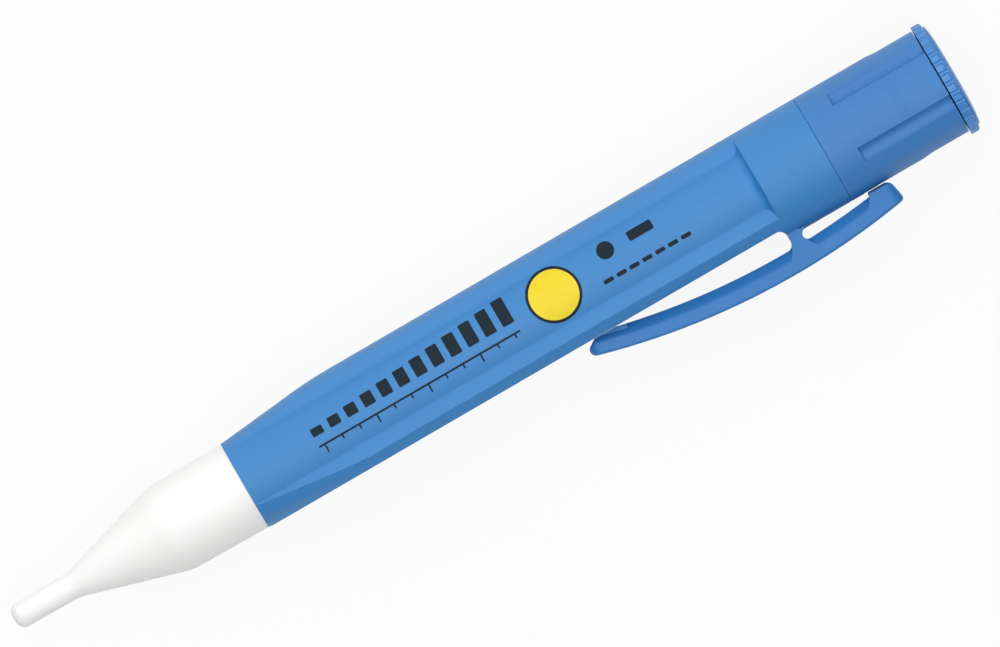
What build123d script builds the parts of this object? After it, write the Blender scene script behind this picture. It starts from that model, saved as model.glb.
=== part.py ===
from build123d import *
import os
from math import atan2, cos, pi, radians, sin, sqrt, tan

# Pen-type magnetic field indicator. X runs along the pen, from the probe tip at the
# negative end to the flat end face of the switch wheel at the origin. The clip is on the
# -Y side and the label recesses face +Z and -Z. All sizes are in millimetres.

# Lengths along the pen, from the end face forward to the probe tip. The two cells and the
# bay for the circuit board in front of them set where the barrel ends.
disc_length = 0.65
rim_length = 1.35
wheel_gap = 0.2
cap_length = 18.8
collar_length = 10.1
board_bay_length = 9.23
taper_length = 14.9
nose_body_length = 12.0
nose_cone_length = 15.3
probe_length = 9.5

# Outer radii
body_radius = 8.15
nose_radius = 6.63
nose_front_radius = 6.46
probe_root_radius = 1.9
probe_tip_radius = 1.8
cap_rear_radius = 8.0
rim_radius = 8.5
disc_radius = 7.75
end_face_radius = 5.2

# Soft blends of the outer profile
taper_blend = 60.0
nose_shoulder_blend = 6.0
probe_root_blend = 5.0
probe_tip_blend = 1.3
seam_chamfer = 0.08
seam_gap = 0.02

# Barrel: flat under the clip and label recess on the front and the back
clip_flat_depth = 1.45
clip_flat_corner = 1.15
recess_floor_radius = 6.6
recess_low = 3.15
recess_high = 5.46
lower_facet_width = 1.95
facet_crease = 0.3
ledge_crease = 1.2
ridge_reach = 0.26
ridge_share = 0.8
shoulder_round = 0.3
shoulder_dip = 0.005
overcut = 1.0

# Cells and the bore that holds them
cell_radius = 5.25
cell_length = 44.5
cell_nub_radius = 1.9
cell_nub_length = 1.2
cell_edge = 0.4
cell_clearance = 0.12
cell_joint_gap = 0.02
contact_gap = 0.05

# Cap joint: spigot on the barrel, bore and stepped chamber in the cap
spigot_radius = 6.75
spigot_lead = 0.4
cap_fit = 0.05
cap_break_length = 7.2
cap_break_run = 1.4
chamber_radius = 6.35
chamber_length = 2.75
rotor_chamber_radius = 5.6
end_wall = 2.4

# Flutes on the cap
flute_count = 5
flute_pitch = 66.0
flute_length = 14.6
flute_width = 2.5
flute_depth = 0.85
lever_flute_lead = 2.2
lever_flute_width = 1.9

# Sealing rings
cap_seal_section = 0.9
cap_seal_offset = 2.0
shaft_seal_section = 0.7
seal_fit = 0.02
seal_groove_room = 0.2

# Switch wheel and what it carries on its shaft
notch_count = 34
notch_radius = 0.36
rim_chamfer = 0.25
disc_edge_length = 0.32
disc_edge_round = 0.15
shaft_radius = 2.0
shaft_fit = 0.05
ring_thickness = 0.5
ring_outer_radius = 3.2
ring_groove_depth = 0.5
ring_opening = 60.0
axial_gap = 0.1
rotor_radius = 5.2
rotor_thickness = 1.0
press_fit = 0.02
wiper_thickness = 0.25
wiper_width = 2.4
wiper_reach = 4.4
wiper_bumps = 2
wiper_bump_radius = 0.7
wiper_bump_height = 0.2

# Spring plate, battery spring and contact ring in the cap
plate_thickness = 0.5
plate_boss_radius = 2.4
plate_boss_height = 0.8
spring_length = 3.9
spring_radius = 3.4
spring_wire = 0.6
spring_turns = 3.0
spring_clearance = 0.15
spring_samples = 240
contact_ring_thickness = 0.3
contact_ring_width = 1.1

# Return strip along the top of the bore
strip_width = 2.2
strip_thickness = 0.3
strip_room = 0.08
strip_lug_height = 1.1

# Nose shell
nose_wall = 1.2
probe_bore_radius = 1.15
probe_end_wall = 0.9
nose_spigot_length = 6.0
nose_spigot_wall = 1.05
nose_fit = 0.03

# Circuit board, its carrier and the front contact
board_thickness = 0.8
board_side_room = 0.25
board_setback = 2.0
board_corner = 1.2
tongue_width = 1.5
carrier_thickness = 3.0
carrier_slot_depth = 2.0
carrier_slot_room = 0.08
carrier_fit = 0.04
front_contact_radius = 3.4
front_contact_thickness = 0.3
front_contact_boss_radius = 1.3
front_contact_boss_height = 0.2

# Parts on the board
sensor_length = 1.6
sensor_width = 1.5
sensor_height = 1.2
sensor_end_room = 0.3
sensor_leads = 3
sensor_lead_width = 0.25
sensor_lead_length = 2.4
sensor_lead_pitch = 0.5
led_radius = 1.5
led_length = 5.2
led_flange_radius = 1.9
led_flange_length = 1.0
led_setback = 3.2
led_leads = 2
led_lead_size = 0.5
led_lead_pitch = 2.54
led_lead_length = 1.6
chip_length = 4.9
chip_width = 3.9
chip_height = 1.5
chip_setback = 3.9
chip_standoff = 0.175
chip_leads = 4
chip_lead_rows = 2
chip_lead_pitch = 1.27
chip_lead_width = 0.42
chip_lead_reach = 1.0
chip_lead_height = 0.7
resistor_size = (1.6, 0.8, 0.45)
resistor_count = 4
resistor_pitch = 1.7
resistor_setback = 2.0
capacitor_size = (2.0, 1.25, 0.9)
capacitor_count = 2
capacitor_pitch = 3.2
capacitor_setback = 5.0

# Clip: an arched bar on a narrow neck that rocks in a half-round seat in the collar
clip_width = 5.6
clip_rise = 4.92
clip_thickness = 3.32
clip_tip_rise = 0.59
clip_crown_offset = 1.5
clip_front_arm = 32.6
clip_pad_arm = 31.1
clip_pad_length = 4.8
clip_pad_width = 4.4
clip_pad_flat = 3.4
clip_pad_gap = 0.04
clip_tip_angle = 33.6
clip_tip_reach = 8.0
clip_tip_radius = 0.85
clip_plan_corner = 1.6
clip_plan_room = 0.1
clip_edge_radius = 0.5
clip_neck_width = 1.8
clip_neck_fillet = 1.0
clip_neck_rear_fillet = 0.8
clip_neck_flare = 1.25
clip_seat_depth = 0.8
clip_seat_fit = 0.05
clip_side_room = 0.1
clip_rock_room = 0.06
relief_depth = 1.42
relief_width = 1.1
relief_round = 1.0
relief_exit = 0.015
relief_fade = 1.0
gusset_radius = 0.8
gusset_room = 0.12
tail_lead = 0.4
tail_length = 4.0
tail_lean = 12.0
tail_depth = 2.1
tail_room = 0.8
tail_round = 1.1
tail_corner = 0.3
heel_radius = 0.65
heel_rise = 0.65
knob_width = 1.3
knob_gap = 0.04
knob_edge = 0.25

# Stations along X
disc_front_x = -disc_length
rim_front_x = disc_front_x - rim_length
cap_rear_x = rim_front_x - wheel_gap
cap_front_x = cap_rear_x - cap_length
collar_front_x = cap_front_x - collar_length
wall_inner_x = cap_rear_x - end_wall
ring_rear_x = wall_inner_x - axial_gap
rotor_rear_x = ring_rear_x - ring_thickness - axial_gap
rotor_front_x = rotor_rear_x - rotor_thickness
wiper_front_x = rotor_front_x - wiper_thickness
plate_rear_x = wiper_front_x - wiper_bump_height - axial_gap
plate_front_x = plate_rear_x - plate_thickness
bore_end_x = plate_rear_x - chamber_length
spigot_rear_x = bore_end_x - contact_ring_thickness - axial_gap - strip_thickness
cell_rear_x = plate_front_x - spring_length - spring_clearance
cell_meeting_x = cell_rear_x - cell_length
cells_front_x = cell_meeting_x - cell_joint_gap - cell_length
contact_rear_x = cells_front_x - contact_gap - front_contact_boss_height
carrier_rear_x = contact_rear_x - front_contact_thickness
carrier_front_x = carrier_rear_x - carrier_thickness
board_rear_x = carrier_front_x + carrier_slot_depth - carrier_slot_room
seam_x = carrier_front_x - board_bay_length
taper_rear_x = seam_x + taper_length
nose_front_x = seam_x - nose_body_length
probe_root_x = nose_front_x - nose_cone_length
tip_x = probe_root_x - probe_length
flute_front_x = cap_rear_x - flute_length
lever_flute_front_x = flute_front_x - lever_flute_lead
probe_bore_front_x = tip_x + probe_end_wall
board_shoulder_x = nose_front_x + board_setback
sensor_front_x = probe_bore_front_x + sensor_end_room
tongue_front_x = sensor_front_x + sensor_length

# Radii and heights worked out from the fits
bore_radius = cell_radius + cell_clearance
cap_bore_radius = spigot_radius + cap_fit
nose_spigot_radius = bore_radius - nose_fit
nose_spigot_bore = nose_spigot_radius - nose_spigot_wall
board_half_width = nose_spigot_bore - board_side_room
board_top = board_thickness / 2
strip_floor = bore_radius + strip_room
strip_ceiling = strip_floor + strip_thickness


def corner(outline, x, y):
    """The corner of an outline that is nearest to a point."""
    return outline.vertices().sort_by_distance((x, y, 0))[0]


def on_circle(radius, across):
    """Height of a circle above its middle, at a distance across from it."""
    return sqrt(radius**2 - across**2)


def arc_radius(half_chord, height):
    """Radius of an arc of a given half chord and height."""
    return (half_chord**2 + height**2) / (2 * height)


# The clip's neck is flush with the front of the collar, and its knob is over the long flute.
# From its crown, the outer arc of the bar comes down to the tip and the inner arc to the pad.
neck_x = collar_front_x + clip_neck_width / 2
clip_crown_x = collar_front_x - clip_crown_offset
clip_tip_x = neck_x - clip_front_arm
knob_front_x = lever_flute_front_x + tail_lead
clip_rear_x = knob_front_x + tail_length
clip_flat_height = body_radius - clip_flat_depth
clip_crown = body_radius + clip_rise
clip_tip_low = body_radius + clip_tip_rise
clip_seat_height = body_radius - clip_seat_depth
clip_inner_y = clip_thickness - clip_crown
clip_pad_y = -clip_flat_height - clip_pad_gap
clip_pad_front_x = neck_x - clip_pad_arm
clip_pad_rear_x = clip_pad_front_x + clip_pad_length
clip_outer_arc = arc_radius(clip_crown_x - clip_tip_x, clip_crown - clip_tip_low)
clip_inner_arc = arc_radius(clip_crown_x - clip_pad_front_x - clip_pad_flat, clip_pad_y - clip_inner_y)
clip_outer_center_y = clip_outer_arc - clip_crown
clip_inner_center_y = clip_inner_arc + clip_inner_y

# Label recess: a round floor between a sloping lower facet with a rounded ridge and a flat
# upper ledge. It ends at the collar in a cove that rises to a rounded edge.
floor_low = Vector(-recess_low, on_circle(recess_floor_radius, recess_low))
floor_high = Vector(recess_high, on_circle(recess_floor_radius, recess_high))
facet_edge = recess_low + lower_facet_width
ridge = Vector(-facet_edge, on_circle(body_radius, facet_edge))
facet_direction = (ridge - floor_low).normalized()
ridge_start = ridge - facet_direction * ridge_reach
ridge_angle = atan2(ridge.Y, ridge.X) + ridge_share * ridge_reach / body_radius
ridge_end = Vector(cos(ridge_angle), sin(ridge_angle)) * body_radius
ridge_chord = (ridge_end - ridge_start).normalized()
ridge_exit = ridge_end + (ridge_chord * (2 * ridge_chord.dot(facet_direction)) - facet_direction) * overcut
outside = body_radius + overcut
cove_low = recess_floor_radius - shoulder_dip
cove_high = body_radius - shoulder_round
cove_radius = cove_high - cove_low
cove_x = collar_front_x - cove_radius

with BuildPart() as label_recess:
    with BuildSketch(Plane.YZ.offset(seam_x - overcut)) as recess_section:
        with BuildLine():
            ThreePointArc(floor_low, (0, recess_floor_radius), floor_high)
            Polyline(
                floor_high,
                (outside, floor_high.Y),
                (outside, outside),
                (-outside, outside),
                (-outside, ridge_exit.Y),
                ridge_exit,
                ridge_end,
            )
            TangentArc(ridge_start, ridge_end, tangent=facet_direction)
            Line(ridge_start, floor_low)
        make_face()
        fillet(corner(recess_section, floor_low.X, floor_low.Y), facet_crease)
        fillet(corner(recess_section, floor_high.X, floor_high.Y), ledge_crease)
    extrude(amount=collar_front_x + shoulder_round - seam_x + overcut)
    with BuildSketch(Plane.XY):
        with BuildLine():
            Line((cove_x, 0), (cove_x, cove_low))
            RadiusArc((cove_x, cove_low), (collar_front_x, cove_high), -cove_radius)
            RadiusArc(
                (collar_front_x, cove_high),
                (collar_front_x + shoulder_round, body_radius),
                shoulder_round,
            )
            Polyline(
                (collar_front_x + shoulder_round, body_radius),
                (collar_front_x + shoulder_round, 2 * outside),
                (collar_front_x + outside, 2 * outside),
                (collar_front_x + outside, 0),
                (cove_x, 0),
            )
        make_face()
    revolve(axis=Axis.X, mode=Mode.SUBTRACT)

# Barrel: one moulding with its taper, collar and rear spigot
cap_seal_x = cap_front_x + cap_seal_offset
cap_seal_ring_radius = cap_bore_radius - seal_fit - cap_seal_section / 2
cap_seal_floor = cap_seal_ring_radius - cap_seal_section / 2 - seal_fit

with BuildPart() as barrel:
    with BuildSketch(Plane.XY) as barrel_outline:
        with BuildLine():
            Polyline(
                (seam_x, 0),
                (seam_x, nose_radius),
                (taper_rear_x, body_radius),
                (cap_front_x, body_radius),
                (cap_front_x, spigot_radius),
                (spigot_rear_x, spigot_radius),
                (spigot_rear_x, 0),
                close=True,
            )
        make_face()
        fillet(corner(barrel_outline, taper_rear_x, body_radius), taper_blend)
        chamfer(corner(barrel_outline, cap_front_x, body_radius), seam_chamfer)
        chamfer(corner(barrel_outline, spigot_rear_x, spigot_radius), spigot_lead)
    revolve(axis=Axis.X)
    add(label_recess.part, mode=Mode.SUBTRACT)
    mirror(label_recess.part, about=Plane.XY, mode=Mode.SUBTRACT)
    with BuildSketch(Plane.XY) as clip_flat:
        with BuildLine():
            Polyline(
                (seam_x - overcut, -clip_flat_height),
                (collar_front_x, -clip_flat_height),
                (collar_front_x, -outside),
                (seam_x - overcut, -outside),
                close=True,
            )
        make_face()
        fillet(corner(clip_flat, collar_front_x, -clip_flat_height), clip_flat_corner)
    extrude(amount=outside, both=True, mode=Mode.SUBTRACT)
    with BuildSketch(Plane.XY):
        with Locations((neck_x, -clip_seat_height)):
            Circle(clip_neck_width / 2 + clip_seat_fit)
        with Locations((neck_x + clip_neck_width / 2 + clip_rock_room, -clip_seat_height)):
            Rectangle(clip_neck_width + 2 * clip_rock_room, outside, align=(Align.MAX, Align.MAX))
        with Locations((neck_x, -clip_seat_height + clip_neck_width / 4)):
            Rectangle(clip_neck_width, outside, align=(Align.MAX, Align.MAX))
    extrude(amount=clip_width / 2 + clip_side_room, both=True, mode=Mode.SUBTRACT)
    with BuildSketch(Plane.YZ.offset(seam_x)):
        Circle(bore_radius)
    extrude(amount=spigot_rear_x - seam_x, mode=Mode.SUBTRACT)
    with BuildSketch(Plane.XY):
        with Locations((cap_seal_x, cap_seal_floor)):
            Rectangle(cap_seal_section + seal_groove_room, outside, align=(Align.CENTER, Align.MIN))
    revolve(axis=Axis.X, mode=Mode.SUBTRACT)
    with BuildSketch(Plane.XY):
        with Locations((carrier_front_x - strip_thickness - strip_room, 0)):
            Rectangle(
                spigot_rear_x - carrier_front_x + strip_thickness + strip_room,
                strip_ceiling + strip_room,
                align=Align.MIN,
            )
    extrude(amount=strip_width / 2 + strip_room, both=True, mode=Mode.SUBTRACT)

# Nose: a thin white shell with its probe, plugged into the front of the barrel
with BuildPart() as nose_cone:
    with BuildSketch(Plane.XY) as nose_outline:
        with BuildLine():
            Polyline(
                (tip_x, 0),
                (tip_x, probe_tip_radius),
                (probe_root_x, probe_root_radius),
                (nose_front_x, nose_front_radius),
                (seam_x, nose_radius),
                (seam_x, nose_spigot_radius),
                (seam_x + nose_spigot_length, nose_spigot_radius),
                (seam_x + nose_spigot_length, 0),
                close=True,
            )
        make_face()
        fillet(corner(nose_outline, tip_x, probe_tip_radius), probe_tip_blend)
        fillet(corner(nose_outline, probe_root_x, probe_root_radius), probe_root_blend)
        fillet(corner(nose_outline, nose_front_x, nose_front_radius), nose_shoulder_blend)
        chamfer(corner(nose_outline, seam_x, nose_radius), seam_chamfer)
    revolve(axis=Axis.X)
    with BuildSketch(Plane.XY):
        with BuildLine():
            Polyline(
                (probe_bore_front_x, 0),
                (probe_bore_front_x, probe_bore_radius),
                (probe_root_x + nose_wall, probe_bore_radius),
                (nose_front_x + nose_wall, nose_front_radius - nose_wall),
                (seam_x - nose_wall, nose_front_radius - nose_wall),
                (seam_x, nose_spigot_bore),
                (seam_x + nose_spigot_length, nose_spigot_bore),
                (seam_x + nose_spigot_length, 0),
                close=True,
            )
        make_face()
    revolve(axis=Axis.X, mode=Mode.SUBTRACT)

# Circuit board with a narrow tongue that reaches up the probe
with BuildPart() as circuit_board:
    with BuildSketch(Plane.XY) as board_outline:
        with BuildLine():
            Polyline(
                (tongue_front_x, -tongue_width / 2),
                (board_shoulder_x, -tongue_width / 2),
                (board_shoulder_x, -board_half_width),
                (board_rear_x, -board_half_width),
                (board_rear_x, board_half_width),
                (board_shoulder_x, board_half_width),
                (board_shoulder_x, tongue_width / 2),
                (tongue_front_x, tongue_width / 2),
                close=True,
            )
        make_face()
        chamfer(corner(board_outline, board_shoulder_x, board_half_width), board_corner)
        chamfer(corner(board_outline, board_shoulder_x, -board_half_width), board_corner)
    extrude(amount=board_thickness / 2, both=True)

# Field sensor on the end of the tongue, with its three leads along the top
with BuildPart() as field_sensor:
    with Locations((sensor_front_x, 0, 0)):
        Box(sensor_length, sensor_width, sensor_height, align=(Align.MIN, Align.CENTER, Align.CENTER))
    sensor_nose = field_sensor.faces().sort_by(Axis.X)[0].edges()
    chamfer(sensor_nose, sensor_lead_width)
    with Locations((tongue_front_x, 0, board_top)):
        with GridLocations(1, sensor_lead_pitch, 1, sensor_leads):
            Box(
                sensor_lead_length,
                sensor_lead_width,
                sensor_height / 2 - board_top,
                align=(Align.MIN, Align.CENTER, Align.MIN),
            )

# Indicator lamp, lying on the board and facing into the nose
led_x = board_shoulder_x + led_setback
led_height = board_top + led_flange_radius

with BuildPart() as indicator_led:
    with BuildSketch(Plane.XY.offset(led_height)):
        with BuildLine():
            led_dome_x = led_x - led_length + led_radius
            Polyline(
                (led_dome_x - led_radius, 0),
                (led_x, 0),
                (led_x, led_flange_radius),
                (led_x - led_flange_length, led_flange_radius),
                (led_x - led_flange_length, led_radius),
                (led_dome_x, led_radius),
            )
            RadiusArc((led_dome_x, led_radius), (led_dome_x - led_radius, 0), -led_radius)
        make_face()
    revolve(axis=Axis((0, 0, led_height), (1, 0, 0)))
    with Locations((led_x, 0, led_height)):
        with GridLocations(1, led_lead_pitch, 1, led_leads):
            Box(led_lead_length, led_lead_size, led_lead_size, align=(Align.MIN, Align.CENTER, Align.CENTER))
    with Locations((led_x + led_lead_length, 0, board_top)):
        with GridLocations(1, led_lead_pitch, 1, led_leads):
            Box(
                led_lead_size,
                led_lead_size,
                led_flange_radius + led_lead_size / 2,
                align=(Align.MAX, Align.CENTER, Align.MIN),
            )

# Control chip with its two rows of leads, on the top of the board near its rear edge
chip_x = carrier_front_x - chip_setback

with BuildPart() as control_chip:
    with Locations((chip_x, 0, board_top + chip_standoff)):
        Box(
            chip_length,
            chip_width,
            chip_height,
            align=(Align.CENTER, Align.CENTER, Align.MIN),
        )
    with Locations((chip_x, 0, board_top)):
        with GridLocations(chip_lead_pitch, chip_width, chip_leads, chip_lead_rows):
            Box(
                chip_lead_width,
                2 * chip_lead_reach,
                chip_lead_height,
                align=(Align.CENTER, Align.CENTER, Align.MIN),
            )

# Rows of chip resistors and capacitors under the board
with BuildPart() as chip_resistors:
    with Locations((carrier_front_x - resistor_setback, 0, -board_top)):
        with GridLocations(1, resistor_pitch, 1, resistor_count):
            Box(*resistor_size, align=(Align.CENTER, Align.CENTER, Align.MAX))

with BuildPart() as chip_capacitors:
    with Locations((carrier_front_x - capacitor_setback, 0, -board_top)):
        with GridLocations(1, capacitor_pitch, 1, capacitor_count):
            Box(*capacitor_size, align=(Align.CENTER, Align.CENTER, Align.MAX))

# Contact carrier: a disc in the bore that holds the board's rear edge and the front contact
with BuildPart() as contact_carrier:
    with BuildSketch(Plane.YZ.offset(carrier_front_x)):
        Circle(bore_radius - carrier_fit)
    extrude(amount=carrier_thickness)
    with BuildSketch(Plane.YZ.offset(carrier_front_x)):
        Rectangle(2 * (board_half_width + carrier_slot_room), board_thickness + 2 * carrier_slot_room)
    extrude(amount=carrier_slot_depth, mode=Mode.SUBTRACT)

with BuildPart() as front_contact:
    with BuildSketch(Plane.YZ.offset(carrier_rear_x)):
        Circle(front_contact_radius)
    extrude(amount=front_contact_thickness)
    with BuildSketch(Plane.YZ.offset(contact_rear_x)):
        Circle(front_contact_boss_radius)
    extrude(amount=front_contact_boss_height)


def cell_outline(rear_x):
    """Half outline of a cell with its flat end at rear_x and its nub at the front."""
    shoulder_x = rear_x - cell_length + cell_nub_length
    return [
        (rear_x, 0),
        (rear_x, cell_radius - cell_edge),
        (rear_x - cell_edge, cell_radius),
        (shoulder_x + cell_edge, cell_radius),
        (shoulder_x, cell_radius - cell_edge),
        (shoulder_x, cell_nub_radius),
        (rear_x - cell_length, cell_nub_radius),
        (rear_x - cell_length, 0),
    ]


with BuildPart() as battery_cell_rear:
    with BuildSketch(Plane.XY):
        with BuildLine():
            Polyline(cell_outline(cell_rear_x), close=True)
        make_face()
    revolve(axis=Axis.X)

with BuildPart() as battery_cell_front:
    with BuildSketch(Plane.XY):
        with BuildLine():
            Polyline(cell_outline(cell_meeting_x - cell_joint_gap), close=True)
        make_face()
    revolve(axis=Axis.X)

# Return strip from the board's edge along the bore, with a lug turned over the spigot's end
with BuildPart() as return_strip:
    with BuildSketch(Plane.XY):
        with BuildLine():
            Polyline(
                (carrier_front_x - strip_thickness, board_half_width),
                (carrier_front_x - strip_thickness, strip_ceiling),
                (spigot_rear_x, strip_ceiling),
                (spigot_rear_x, strip_floor + strip_lug_height),
                (spigot_rear_x + strip_thickness, strip_floor + strip_lug_height),
                (spigot_rear_x + strip_thickness, strip_floor),
                (carrier_front_x, strip_floor),
                (carrier_front_x, board_half_width),
                close=True,
            )
        make_face()
    extrude(amount=strip_width / 2, both=True)

with BuildPart() as cap_seal:
    with BuildSketch(Plane.XY):
        with Locations((cap_seal_x, cap_seal_ring_radius)):
            Circle(cap_seal_section / 2)
    revolve(axis=Axis.X)

# Cap: pushes over the spigot, with open-ended round flutes and a stepped chamber
cap_break_x = cap_rear_x - cap_break_length
flute_floor = body_radius - flute_depth
flute_radius = arc_radius(flute_width / 2, flute_depth)
lever_flute_radius = arc_radius(lever_flute_width / 2, flute_depth)
flute_spread = flute_pitch * (flute_count - 1)
shaft_hole_radius = shaft_radius + shaft_fit
shaft_seal_radius = shaft_radius + seal_fit + shaft_seal_section / 2
shaft_seal_x = cap_rear_x - end_wall / 2

with BuildPart() as rear_cap:
    with BuildSketch(Plane.XY) as cap_outline:
        with BuildLine():
            Polyline(
                (cap_front_x + seam_gap, cap_bore_radius),
                (cap_front_x + seam_gap, body_radius),
                (cap_break_x, body_radius),
                (cap_break_x + cap_break_run, cap_rear_radius),
                (cap_rear_x, cap_rear_radius),
                (cap_rear_x, shaft_hole_radius),
                (wall_inner_x, shaft_hole_radius),
                (wall_inner_x, rotor_chamber_radius),
                (plate_rear_x, rotor_chamber_radius),
                (plate_rear_x, chamber_radius),
                (bore_end_x, chamber_radius),
                (bore_end_x, cap_bore_radius),
                close=True,
            )
        make_face()
        chamfer(corner(cap_outline, cap_front_x + seam_gap, body_radius), seam_chamfer)
    revolve(axis=Axis.X)
    with BuildSketch(Plane.YZ.offset(flute_front_x)):
        with PolarLocations(
            flute_floor + flute_radius,
            flute_count,
            start_angle=180 - flute_spread / 2,
            angular_range=flute_spread,
            endpoint=True,
        ):
            Circle(flute_radius)
    extrude(amount=flute_length + overcut, mode=Mode.SUBTRACT)
    with BuildSketch(Plane.YZ.offset(lever_flute_front_x)):
        with Locations((-flute_floor - lever_flute_radius, 0)):
            Circle(lever_flute_radius)
    extrude(amount=flute_length + lever_flute_lead + overcut, mode=Mode.SUBTRACT)
    with BuildSketch(Plane.XY):
        with Locations((shaft_seal_x, 0)):
            Rectangle(
                shaft_seal_section + seal_groove_room,
                shaft_seal_radius + shaft_seal_section / 2 + seal_fit,
                align=(Align.CENTER, Align.MIN),
            )
    revolve(axis=Axis.X, mode=Mode.SUBTRACT)

with BuildPart() as shaft_seal:
    with BuildSketch(Plane.XY):
        with Locations((shaft_seal_x, shaft_seal_radius)):
            Circle(shaft_seal_section / 2)
    revolve(axis=Axis.X)

with BuildPart() as cap_contact_ring:
    with BuildSketch(Plane.YZ.offset(bore_end_x)):
        Circle(cap_bore_radius - carrier_fit)
        Circle(cap_bore_radius - carrier_fit - contact_ring_width, mode=Mode.SUBTRACT)
    extrude(amount=-contact_ring_thickness)

with BuildPart() as spring_plate:
    with BuildSketch(Plane.YZ.offset(plate_rear_x)):
        Circle(chamber_radius - carrier_fit)
    extrude(amount=-plate_thickness)
    with BuildSketch(Plane.YZ.offset(plate_front_x)):
        Circle(plate_boss_radius)
    extrude(amount=-plate_boss_height)

# Battery spring: one unbroken wire. Each quarter turn is a pair of arcs that meet smoothly.
spring_rear_x = plate_front_x - spring_wire / 2
spring_pitch = (spring_length - spring_wire) / spring_turns
quarter_turns = round(4 * spring_turns)


def coil_point(turn):
    """Point on the spring's centreline after a number of turns."""
    angle = 2 * pi * turn
    return Vector(spring_rear_x - spring_pitch * turn, spring_radius * cos(angle), spring_radius * sin(angle))


def coil_direction(turn):
    """Direction of the spring's centreline after a number of turns."""
    angle = 2 * pi * turn
    along = -spring_pitch / (2 * pi)
    return Vector(along, -spring_radius * sin(angle), spring_radius * cos(angle)).normalized()


def arc_pair(turn_from, turn_to):
    """Two arcs that follow the coil between two places and share its direction at both."""
    start, end = coil_point(turn_from), coil_point(turn_to)
    leave, arrive = coil_direction(turn_from), coil_direction(turn_to)
    chord = end - start
    square = 2 * (1 - leave.dot(arrive))
    linear = chord.dot(leave + arrive)
    reach = (sqrt(linear**2 + square * chord.dot(chord)) - linear) / square
    near, far = start + leave * reach, end - arrive * reach
    middle = (near + far) / 2
    TangentArc(start, middle, tangent=leave)
    TangentArc(middle, end, tangent=far - near)


with BuildPart() as battery_spring:
    with BuildLine() as spring_line:
        for quarter in range(quarter_turns):
            arc_pair(quarter / 4, (quarter + 1) / 4)
    with BuildSketch(Plane(origin=coil_point(0), z_dir=coil_direction(0))):
        Circle(spring_wire / 2)
    sweep(path=spring_line.line)

spring_points = [spring_line.line @ (step / spring_samples) for step in range(spring_samples + 1)]
half_turn = round(spring_samples / spring_turns / 2)
spring_gap = min(
    (first - second).length - spring_wire
    for place, first in enumerate(spring_points)
    for second in spring_points[place + half_turn:]
)
print(f"battery spring: least gap to itself {spring_gap:.2f} mm")

# Switch wheel: notched rim, domed end disc and the shaft through the cap's end wall
disc_edge_x = disc_front_x + disc_edge_length

with BuildPart() as switch_wheel:
    with BuildSketch(Plane.XY) as wheel_outline:
        with BuildLine():
            Polyline(
                (0, end_face_radius),
                (0, 0),
                (rotor_front_x, 0),
                (rotor_front_x, shaft_radius),
                (ring_rear_x - ring_thickness, shaft_radius),
                (ring_rear_x - ring_thickness, shaft_radius - ring_groove_depth),
                (ring_rear_x, shaft_radius - ring_groove_depth),
                (ring_rear_x, shaft_radius),
                (rim_front_x, shaft_radius),
                (rim_front_x, rim_radius),
                (disc_front_x, rim_radius),
                (disc_front_x, disc_radius),
                (disc_edge_x, disc_radius),
            )
            TangentArc((0, end_face_radius), (disc_edge_x, disc_radius), tangent=(0, 1))
        make_face()
        chamfer(corner(wheel_outline, disc_front_x, rim_radius), rim_chamfer)
        fillet(corner(wheel_outline, disc_edge_x, disc_radius), disc_edge_round)
    revolve(axis=Axis.X)
    with BuildSketch(Plane.YZ.offset(rim_front_x)):
        with PolarLocations(rim_radius, notch_count):
            Circle(notch_radius)
    extrude(amount=rim_length, mode=Mode.SUBTRACT)

with BuildPart() as retaining_ring:
    with BuildSketch(Plane.YZ.offset(ring_rear_x - press_fit)):
        Circle(ring_outer_radius)
        Circle(shaft_radius - ring_groove_depth + press_fit, mode=Mode.SUBTRACT)
        with BuildLine():
            ring_cut = ring_outer_radius * 2
            half_opening = ring_opening / 2 * pi / 180
            Polyline(
                (0, 0),
                (ring_cut * cos(half_opening), ring_cut * sin(half_opening)),
                (ring_cut * cos(half_opening), -ring_cut * sin(half_opening)),
                close=True,
            )
        make_face(mode=Mode.SUBTRACT)
    extrude(amount=-ring_thickness + 2 * press_fit)

with BuildPart() as switch_rotor:
    with BuildSketch(Plane.YZ.offset(rotor_rear_x)):
        Circle(rotor_radius)
        Circle(shaft_radius + press_fit, mode=Mode.SUBTRACT)
    extrude(amount=-rotor_thickness)

with BuildPart() as rotor_wiper:
    with BuildSketch(Plane.YZ.offset(rotor_front_x)):
        SlotOverall(2 * wiper_reach, wiper_width)
        Circle(wiper_width)
    extrude(amount=-wiper_thickness)
    with BuildSketch(Plane.YZ.offset(wiper_front_x)):
        with PolarLocations(wiper_reach - wiper_width / 2, wiper_bumps):
            Circle(wiper_bump_radius)
    extrude(amount=-wiper_bump_height)

# Clip edges: the inner edges of the bar are bevelled, with a rounded foot, and the bevels run
# out at the neck and the tail
relief_high = clip_inner_y + relief_depth
relief_low = clip_inner_y - relief_depth
foot_reach = relief_round * tan(atan2(relief_width, relief_depth) / 2)
neck_front_x = neck_x - clip_neck_flare
neck_rear_x = neck_x + clip_neck_flare
arm_rear_y = clip_inner_center_y - on_circle(clip_inner_arc, knob_front_x - clip_crown_x)
half_width = clip_width / 2

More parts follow.
